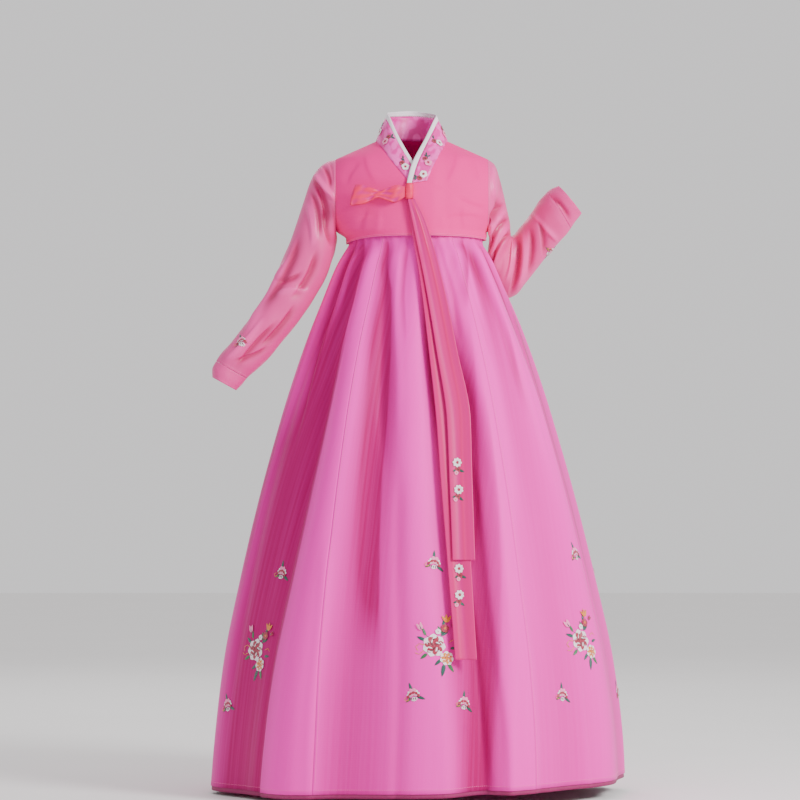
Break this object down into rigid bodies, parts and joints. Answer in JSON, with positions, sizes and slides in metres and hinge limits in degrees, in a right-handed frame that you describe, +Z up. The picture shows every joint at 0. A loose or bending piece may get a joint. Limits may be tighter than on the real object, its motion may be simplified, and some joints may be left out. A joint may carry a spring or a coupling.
{
  "type": "korean hanbok",
  "caption": "Pink Korean hanbok held in its worn form: short jacket with white-edged collar, long sleeves and coral ribbon tie over a full, high-waisted organza skirt.",
  "frame": {"origin": "middle of the shoulder line, where the wearer's shoulders carry the garment", "axes": "+Z up, +X to the wearer's left, -Y to the front"},
  "size_m": [0.8901, 0.7493, 1.4616],
  "materials": {
    "crepe": "matte",
    "satin": "satin",
    "organza": "satin",
    "under": "matte",
    "brocade": "satin",
    "white": "matte",
    "ribbon": "satin",
    "band": "matte"
  },
  "bodies": {
    "root": {"jacket_front_left": "crepe", "jacket_front_right": "crepe", "jacket_back": "crepe", "sleeve_left_upper": "satin", "sleeve_left_lower": "satin", "cuff_left": "satin", "sleeve_right_upper": "satin", "sleeve_right_lower": "satin", "cuff_right": "satin", "collar_band": "brocade", "collar_white_edge": "white", "ribbon_knot": "ribbon", "ribbon_loop": "ribbon", "ribbon_tail_front": "ribbon", "ribbon_tail_rear": "ribbon", "skirt_chest_band": "band", "skirt_panel_front": "organza", "skirt_panel_front_left": "organza", "skirt_panel_back_left": "organza", "skirt_panel_back": "organza", "skirt_panel_back_right": "organza", "skirt_panel_front_right": "organza", "skirt_under_layer": "under"}
  },
  "joints": []
}
